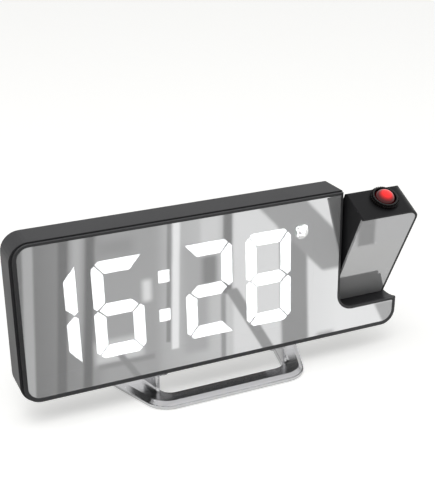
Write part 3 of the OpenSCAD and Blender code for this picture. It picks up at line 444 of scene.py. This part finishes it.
def redLensFinish():
    # dark red dome, lit from below: the glow fades from its middle to its rim
    made, tree, shader, where = newMaterial("lensRed")
    low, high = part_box("projection_lens")
    centre = (low + high) / 2
    move = addNode(tree, "ShaderNodeMapping")
    source = centre + Vector(redLens["off"]) * mm
    move.inputs["Location"].default_value = tuple(-c for c in source)
    tree.links.new(where, move.inputs["Vector"])
    away = addNode(tree, "ShaderNodeVectorMath", operation="LENGTH")
    tree.links.new(move.outputs[0], away.inputs[0])
    fade = addNode(tree, "ShaderNodeMapRange", {
        "From Min": redLens["core"] * mm, "From Max": redLens["reach"] * mm,
        "To Min": 1.0, "To Max": 0.0},
        interpolation_type="SMOOTHERSTEP")
    tree.links.new(away.outputs["Value"], fade.inputs["Value"])
    swirl = addNode(tree, "ShaderNodeTexNoise", {"Scale": 500.0, "Detail": 2.0})
    tree.links.new(where, swirl.inputs["Vector"])
    inner = maths(tree, "MULTIPLY", fade.outputs[0], stretch(tree, swirl.outputs["Fac"], 0.8, 1.1))
    tone = blendColours(tree, inner, redLens["rim"], redLens["heart"])
    tree.links.new(tone, shader.inputs["Base Color"])
    shine = blendColours(tree, inner, (0.0, 0.0, 0.0), redLens["heart"])
    tree.links.new(shine, shader.inputs["Emission Color"])
    shader.inputs["Emission Strength"].default_value = redLens["glow"]
    shader.inputs["Coat Weight"].default_value = 0.4
    shader.inputs["Coat Roughness"].default_value = 0.03
    shader.inputs["Specular IOR Level"].default_value = 0.2
    tree.links.new(stretch(tree, swirl.outputs["Fac"], 0.08, 0.16), shader.inputs["Roughness"])
    return made


def clearGlassFinish():
    made, tree, shader, where = newMaterial("clearGlass")
    swirl = addNode(tree, "ShaderNodeTexNoise", {"Scale": 300.0, "Detail": 2.0})
    tree.links.new(where, swirl.inputs["Vector"])
    tone = blendColours(tree, swirl.outputs["Fac"], (0.92, 0.96, 0.98), (0.97, 0.98, 1.0))
    tree.links.new(tone, shader.inputs["Base Color"])
    tree.links.new(stretch(tree, swirl.outputs["Fac"], 0.01, 0.05), shader.inputs["Roughness"])
    shader.inputs["Transmission Weight"].default_value = 1.0
    shader.inputs["IOR"].default_value = 1.49
    return made


finishes = {name: plasticFinish(name, **values) for name, values in plastics.items()}
finishes.update({name: metalFinish(name, **values) for name, values in metals.items()})
finishes.update({name: mirrorFinish(name, **values) for name, values in mirrors.items()})
finishes.update({name: glowFinish(name, **values) for name, values in glowing.items()})
finishes.update(
    boardGreen=boardFinish(), reflectorWhite=reflectorFinish(),
    lensRed=redLensFinish(), clearGlass=clearGlassFinish(),
)
print("finishes made:", len(finishes))


wearing = {
    "shellPlastic": ["rear_shell", "battery_door"],
    "bezelPlastic": ["front_bezel"],
    "mirrorGlass": ["mirror_panel"],
    "armMirrorGlass": ["arm_mirror"],
    "reflectorWhite": ["display_reflector"],
    "litWhite": ["lit_segments", "colon_dots", "alarm_icon"],
    "smokedPlastic": ["unlit_segments", "slide_display"],
    "boardGreen": ["display_board", "main_board", "port_board", "projector_board"],
    "ledYellow": ["display_leds"],
    "ledClear": ["projector_led"],
    "chipBlack": ["control_chip", "key_switches", "buzzer", "power_inlet"],
    "brightSteel": [
        "clock_crystal", "usb_outlet", "inlet_pin", "shell_screws", "board_screws", "stand_screws",
        "arm_screws", "arm_axle",
    ],
    "springSteel": ["friction_washer", "axle_clip"],
    "contactBrass": ["cell_contacts"],
    "cellSteel": ["coin_cell"],
    "creamPlastic": ["board_connector", "axle_bush"],
    "whitePlastic": ["usb_tongue"],
    "buttonPlastic": ["mode_button", "up_button", "down_button", "alarm_button", "snooze_button"],
    "armPlastic": ["arm_shell", "arm_back"],
    "opticBlack": ["lens_tube", "focus_ring", "lens_barrel"],
    "lensRed": ["projection_lens"],
    "clearGlass": ["condenser_lens", "rear_lens"],
    "standMetal": ["stand"],
    "footRubber": ["stand_feet"],
    "leadRed": ["body_lead", "arm_lead"],
}

for finish, names in wearing.items():
    for name in names:
        worn = nodes[name]
        if not worn.material_slots:
            worn.data.materials.append(finishes[finish])
        for place in worn.material_slots:
            place.material = finishes[finish]
left = sorted(set(nodes) - {name for names in wearing.values() for name in names})
print("nodes without a finish:", left)


def linkPiece(name, mesh, finish=None):
    made = bpy.data.objects.new(name, mesh)
    bpy.context.collection.objects.link(made)
    if finish is not None:
        mesh.materials.clear()
        mesh.materials.append(finish)
    return made


# the alarm sign: a small clock with two bells, drawn as thin strokes in the place of its solid.
# All sizes are shares of half the solid's width, from its middle.
alarmSign = dict(
    face=0.60, faceAt=(0, -0.1), bell=0.30, bellAt=(0.68, 0.60), bellArc=(10, 250), stroke=0.13,
    around=28, bellSteps=12, hands=[(0, 0.24), (0, -0.1), (0.22, -0.1)],
    foot=[(0.42, -0.58), (0.62, -0.86)], knob=[(0, 0.5), (0, 0.8)],
)


def arcPoints(x, z, r, start, end, count):
    turns = [math.radians(start + (end - start) * i / count) for i in range(count + 1)]
    return [(x + r * math.cos(a), z + r * math.sin(a)) for a in turns]


def buildAlarmSign():
    low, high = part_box("alarm_icon")
    middle = (Vector(low) + Vector(high)) / 2
    half = (high[0] - low[0]) / 2
    sign = alarmSign
    wide = sign["stroke"] / 2
    bellX, bellZ = sign["bellAt"]
    start, end = sign["bellArc"]
    bell = (sign["bell"], start, end, sign["bellSteps"])
    otherBell = (sign["bell"], 180 - start, 180 - end, sign["bellSteps"])
    lines = [
        arcPoints(*sign["faceAt"], sign["face"], 0, 360, sign["around"]),
        arcPoints(-bellX, bellZ, *bell),
        arcPoints(bellX, bellZ, *otherBell),
        sign["hands"],
        [(-x, z) for x, z in sign["foot"]],
        sign["foot"],
        sign["knob"],
    ]
    work = bmesh.new()
    for line in lines:
        for (xa, za), (xb, zb) in zip(line, line[1:]):
            along = Vector((xb - xa, 0, zb - za)).normalized()
            side = Vector((-along.z, 0, along.x)) * wide
            lap = along * wide * 0.4  # closes the corner to the next stroke
            ends = [Vector((xa, 0, za)) - lap, Vector((xb, 0, zb)) + lap]
            rim = [ends[0] - side, ends[1] - side, ends[1] + side, ends[0] + side]
            rim = [(middle.x + v.x * half, middle.z + v.z * half) for v in rim]
            front = [work.verts.new((x, low[1], z)) for x, z in rim]
            back = [work.verts.new((x, high[1], z)) for x, z in rim]
            work.faces.new(front)
            work.faces.new(back[::-1])
            for i in range(4):
                work.faces.new((front[i], back[i], back[(i + 1) % 4], front[(i + 1) % 4]))
    bmesh.ops.recalc_face_normals(work, faces=work.faces[:])
    mesh = bpy.data.meshes.new("alarmSign")
    work.to_mesh(mesh)
    work.free()
    made = linkPiece("alarmSign", mesh, finishes["litWhite"])
    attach(made, "body")
    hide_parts("alarm_icon")


buildAlarmSign()
print("alarm sign made")


# grip ribs round the focus ring: sizes in metres
ringGrip = dict(count=40, wide=0.00035, proud=0.00022, sunk=0.0004, margin=0.0007)
ribSockets = dict(
    Count="NodeSocketInt", Radius="NodeSocketFloat", Block="NodeSocketVector",
    Place="NodeSocketVector", Turn="NodeSocketVector", Finish="NodeSocketMaterial",
)


def ribTree():
    # equal small blocks set round a circle that leans with the arm
    tree = bpy.data.node_groups.new("ringGripTree", "GeometryNodeTree")
    sizes = {}
    for label, kind in ribSockets.items():
        sizes[label] = tree.interface.new_socket(label, in_out="INPUT", socket_type=kind).identifier
    tree.interface.new_socket("Geometry", in_out="OUTPUT", socket_type="NodeSocketGeometry")
    given = tree.nodes.new("NodeGroupInput").outputs
    circle = addNode(tree, "GeometryNodeMeshCircle")
    block = addNode(tree, "GeometryNodeMeshCube")
    spread = addNode(tree, "GeometryNodeInstanceOnPoints")
    facing = addNode(tree, "FunctionNodeAlignRotationToVector", axis="X")
    moved = addNode(tree, "GeometryNodeTransform")
    real = addNode(tree, "GeometryNodeRealizeInstances")
    painted = addNode(tree, "GeometryNodeSetMaterial")
    links = tree.links
    links.new(given["Count"], circle.inputs["Vertices"])
    links.new(given["Radius"], circle.inputs["Radius"])
    links.new(given["Block"], block.inputs["Size"])
    links.new(circle.outputs["Mesh"], spread.inputs["Points"])
    links.new(block.outputs["Mesh"], spread.inputs["Instance"])
    links.new(tree.nodes.new("GeometryNodeInputPosition").outputs[0], facing.inputs["Vector"])
    links.new(facing.outputs[0], spread.inputs["Rotation"])
    links.new(spread.outputs[0], moved.inputs["Geometry"])
    links.new(given["Place"], moved.inputs["Translation"])
    links.new(given["Turn"], moved.inputs["Rotation"])
    links.new(moved.outputs[0], real.inputs[0])
    links.new(real.outputs[0], painted.inputs["Geometry"])
    links.new(given["Finish"], painted.inputs["Material"])
    links.new(painted.outputs[0], tree.nodes.new("NodeGroupOutput").inputs[0])
    return tree, sizes


def bakePiece(name, tree, sizes, values):
    # a Geometry Nodes tree turned into a plain mesh
    source = bpy.data.objects.new(name + "Source", bpy.data.meshes.new(name + "Source"))
    bpy.context.collection.objects.link(source)
    grown = source.modifiers.new("grown", "NODES")
    grown.node_group = tree
    for label, value in values.items():
        grown[sizes[label]] = value
    ready = source.evaluated_get(bpy.context.evaluated_depsgraph_get())
    mesh = bpy.data.meshes.new_from_object(ready)
    source.modifiers.remove(grown)
    bpy.data.objects.remove(source)
    mesh.name = name
    return linkPiece(name, mesh)


def buildRingGrip():
    points = [v.co.copy() for v in nodes["focus_ring"].data.vertices]
    joints = {j["name"]: j for j in frame["record"]["behaviour"]["joints"]}
    joint = joints["focus_turn"]
    axis = Vector(joint["axis"]).normalized()
    hub = Vector(joint["pos_m"])
    heights = [(p - hub).dot(axis) for p in points]
    radius = max(((p - hub) - axis * (p - hub).dot(axis)).length for p in points)
    low, high = min(heights), max(heights)
    tall = high - low - 2 * ringGrip["margin"]
    thick = ringGrip["proud"] + ringGrip["sunk"]
    turn = Vector((0, 0, 1)).rotation_difference(axis).to_euler()
    tree, sizes = ribTree()
    made = bakePiece("ringGrip", tree, sizes, {
        "Count": ringGrip["count"],
        "Radius": radius + ringGrip["proud"] - thick / 2,
        "Block": (thick, ringGrip["wide"], tall),
        "Place": tuple(hub + axis * (low + high) / 2),
        "Turn": tuple(turn),
        "Finish": finishes["opticBlack"],
    })
    print("ring grip:", round(radius / mm, 2), "mm radius,", round(tall / mm, 2), "mm tall")
    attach(made, "ring")


buildRingGrip()
print("grip made")


# floor and light
studio = dict(
    size=6.0, floor=(0.86, 0.86, 0.845), floorRough=0.9, floorGloss=0.1, lift=0.36, world=0.62,
    keyPower=3.4, keySize=0.7, keyPlace=(-0.25, -0.35, 0.95), keyAim=(0, 0, 0.04),
)


def seenPlainly(tree):
    # 1 for the rays that look at the floor or the world, 0 for those that light the object
    rays = addNode(tree, "ShaderNodeLightPath").outputs
    mirrored = maths(tree, "ADD", rays["Is Glossy Ray"], rays["Is Transmission Ray"])
    return maths(tree, "ADD", rays["Is Camera Ray"], mirrored, clamp=True)


def flatMesh(name, x0, y0, x1, y1, z=0.0):
    mesh = bpy.data.meshes.new(name)
    mesh.from_pydata([(x0, y0, z), (x1, y0, z), (x1, y1, z), (x0, y1, z)], [], [(0, 1, 2, 3)])
    return mesh


def buildFloor():
    half = studio["size"] / 2
    mesh = flatMesh("floor", -half, -half, half, half)
    paper = bpy.data.materials.new("floorPaper")
    paper.use_nodes = True
    tree = paper.node_tree
    shader = tree.nodes["Principled BSDF"]
    shader.inputs["Base Color"].default_value = (*studio["floor"], 1)
    shader.inputs["Roughness"].default_value = studio["floorRough"]
    shader.inputs["Specular IOR Level"].default_value = studio["floorGloss"]
    white = addNode(tree, "ShaderNodeEmission", {"Color": (1, 1, 0.99, 1)})
    seen = seenPlainly(tree)
    tree.links.new(maths(tree, "MULTIPLY", seen, studio["lift"]), white.inputs["Strength"])
    both = addNode(tree, "ShaderNodeAddShader")
    tree.links.new(shader.outputs[0], both.inputs[0])
    tree.links.new(white.outputs[0], both.inputs[1])
    tree.links.new(both.outputs[0], tree.nodes["Material Output"].inputs["Surface"])
    linkPiece("floor", mesh, paper)


def buildWorld():
    world = bpy.data.worlds.new("studio")
    bpy.context.scene.world = world
    world.use_nodes = True
    tree = world.node_tree
    plain = tree.nodes["Background"]
    plain.inputs["Color"].default_value = (1, 1, 1, 1)
    plain.inputs["Strength"].default_value = studio["world"]
    shown = addNode(tree, "ShaderNodeBackground", {"Color": (1, 1, 1, 1), "Strength": 1.0})
    seen = seenPlainly(tree)
    mix = addNode(tree, "ShaderNodeMixShader")
    tree.links.new(seen, mix.inputs[0])
    tree.links.new(plain.outputs[0], mix.inputs[1])
    tree.links.new(shown.outputs[0], mix.inputs[2])
    tree.links.new(mix.outputs[0], tree.nodes["World Output"].inputs["Surface"])


def buildLamp():
    lamp = bpy.data.lights.new("softbox", "AREA")
    lamp.size = studio["keySize"]
    lamp.energy = studio["keyPower"]
    made = bpy.data.objects.new("softbox", lamp)
    bpy.context.collection.objects.link(made)
    made.location = studio["keyPlace"]
    made.rotation_mode = "QUATERNION"
    aim = Vector(studio["keyAim"]) - Vector(studio["keyPlace"])
    made.rotation_quaternion = aim.to_track_quat("-Z", "Y")
    made.visible_glossy = False


buildFloor()
buildWorld()
buildLamp()


# what the mirror sees: a card on the floor in front of it, with the soft shapes of a bright room.
# Places are where a shape shows in the mirror, in millimetres across and up.
card = dict(
    hub=(-166.2, 357.3), height=232.9, face=-7.4,
    corners=(-300, -330, 330, -27), above=0.4, halfHeight=48.0, gradient=(-90.0, 60.0),
    left=0.12, right=0.98, gain=1.07,
    # middle at half height, half width, slope (across for each up), bottom, top, softness, level
    shapes=dict(
        curtainEdge=(-88.5, 2.2, 0.055, 10, 95, 0.8, 0.42),
        curtainFold=(-74.4, 2.1, 0.075, 5, 95, 0.9, 0.09),
        curtainLight=(-68.8, 2.4, 0.080, 34, 95, 2.0, 0.46),
        curtainShade=(-62.8, 2.0, 0.075, 5, 95, 1.0, 0.09),
        farWall=(-44.0, 13.0, 0.02, 5, 95, 3.5, 0.36),
        picture=(-50.0, 8.0, 0.0, 74, 81, 3.0, 0.28),
        lamp=(-36.6, 2.0, 0.0, 50, 60, 1.6, 0.85),
        tableLight=(-50.0, 11.0, 0.0, 24, 35, 2.2, 0.66),
        tableEdge=(-47.0, 13.0, 0.0, 21.5, 24, 1.0, 0.26),
        tableLeg=(-63.0, 1.6, -0.62, 5, 27, 0.8, 0.24),
        windowFrame=(-26.7, 1.0, 0.035, 28, 95, 0.5, 0.24),
        windowPost=(-23.4, 1.7, 0.035, 24, 95, 0.7, 1.00),
        shelf=(-14.0, 6.0, 0.0, 20, 72, 2.6, 0.42),
        bookEnd=(-7.0, 3.6, 0.0, 52, 68, 2.0, 0.20),
        pane=(-7.6, 4.4, 0.03, 66, 95, 1.4, 0.72),
        doorPost=(1.3, 2.3, 0.02, 46, 95, 0.9, 0.16),
        doorFoot=(-0.6, 1.2, 0.0, 5, 46, 0.8, 0.30),
        doorWall=(16.0, 11.6, 0.0, 5, 95, 1.2, 0.84),
        rail=(3.2, 2.9, -0.56, 5, 48, 0.8, 0.28),
        cabinet=(35.0, 7.0, -0.04, 5, 95, 1.2, 0.27),
        ceiling=(62.0, 12.0, -0.92, 48, 95, 1.4, 0.35),
        sunLine=(79.5, 1.2, -0.96, 50, 95, 0.9, 0.90),
        chair=(52.5, 4.6, 0.0, 5, 15.5, 2.2, 0.28),
        curtainEnd=(73.0, 5.0, -0.50, 5, 25, 1.2, 0.42),
    ),
)


shapeValues = ("Middle", "Half", "Slope", "Bottom", "Top", "Softness", "Level")


def buildSoftShape():
    # one soft, sloping box laid over what is under it
    group, given, out = newGroup(
        "softShape",
        [(label, "NodeSocketFloat", 0.0) for label in ("Across", "Up", "Under") + shapeValues],
        [("Level", "NodeSocketFloat")],
    )

    def within(place, half):
        edge = addNode(group, "ShaderNodeMapRange", {"To Min": 1.0, "To Max": 0.0},
                       interpolation_type="SMOOTHSTEP")
        group.links.new(maths(group, "ABSOLUTE", place), edge.inputs["Value"])
        group.links.new(maths(group, "SUBTRACT", half, given["Softness"]), edge.inputs["From Min"])
        group.links.new(maths(group, "ADD", half, given["Softness"]), edge.inputs["From Max"])
        return edge.outputs["Result"]

    sloped = maths(group, "SUBTRACT", given["Up"], card["halfHeight"])
    sloped = maths(group, "MULTIPLY", sloped, given["Slope"])
    place = maths(group, "SUBTRACT", maths(group, "SUBTRACT", given["Across"], given["Middle"]), sloped)
    middle = maths(group, "MULTIPLY", maths(group, "ADD", given["Bottom"], given["Top"]), 0.5)
    tall = maths(group, "MULTIPLY", maths(group, "SUBTRACT", given["Top"], given["Bottom"]), 0.5)
    across = within(place, given["Half"])
    upright = within(maths(group, "SUBTRACT", given["Up"], middle), tall)
    mask = maths(group, "MULTIPLY", across, upright)
    change = maths(group, "MULTIPLY", maths(group, "SUBTRACT", given["Level"], given["Under"]), mask)
    group.links.new(maths(group, "ADD", given["Under"], change), out["Level"])
    return group


def buildCard():
    mesh = flatMesh("roomCard", *(c * mm for c in card["corners"]), card["above"] * mm)
    paper = bpy.data.materials.new("cardPaper")
    paper.use_nodes = True
    tree = paper.node_tree
    tree.nodes.clear()
    axes = addNode(tree, "ShaderNodeSeparateXYZ")
    tree.links.new(addNode(tree, "ShaderNodeTexCoord").outputs["Object"], axes.inputs[0])
    hubX, hubY = card["hub"]
    reach = hubY - card["face"]
    away = maths(tree, "SUBTRACT", hubY, maths(tree, "DIVIDE", axes.outputs["Y"], mm))
    side = maths(tree, "SUBTRACT", maths(tree, "DIVIDE", axes.outputs["X"], mm), hubX)
    across = maths(tree, "MULTIPLY", maths(tree, "DIVIDE", side, away), reach)
    across = maths(tree, "ADD", across, hubX)
    up = maths(tree, "SUBTRACT", 1.0, maths(tree, "DIVIDE", reach, away))
    up = maths(tree, "MULTIPLY", up, card["height"])
    slow = addNode(tree, "ShaderNodeMapRange", {
        "From Min": card["gradient"][0], "From Max": card["gradient"][1],
        "To Min": card["left"], "To Max": card["right"]})
    tree.links.new(across, slow.inputs["Value"])
    level = slow.outputs["Result"]
    shape = buildSoftShape()
    for name, values in card["shapes"].items():
        laid = tree.nodes.new("ShaderNodeGroup")
        laid.node_tree = shape
        laid.label = name
        for label, value in zip(shapeValues, values):
            laid.inputs[label].default_value = value
        for label, link in (("Across", across), ("Up", up), ("Under", level)):
            tree.links.new(link, laid.inputs[label])
        level = laid.outputs["Level"]
    shine = addNode(tree, "ShaderNodeEmission", {"Strength": card["gain"]})
    tree.links.new(level, shine.inputs["Color"])
    end = addNode(tree, "ShaderNodeOutputMaterial")
    tree.links.new(shine.outputs[0], end.inputs["Surface"])
    made = linkPiece("roomCard", mesh, paper)
    made.visible_camera = False
    made.visible_diffuse = False
    made.visible_transmission = False
    made.visible_volume_scatter = False
    made.visible_shadow = False


buildCard()
print("studio built")
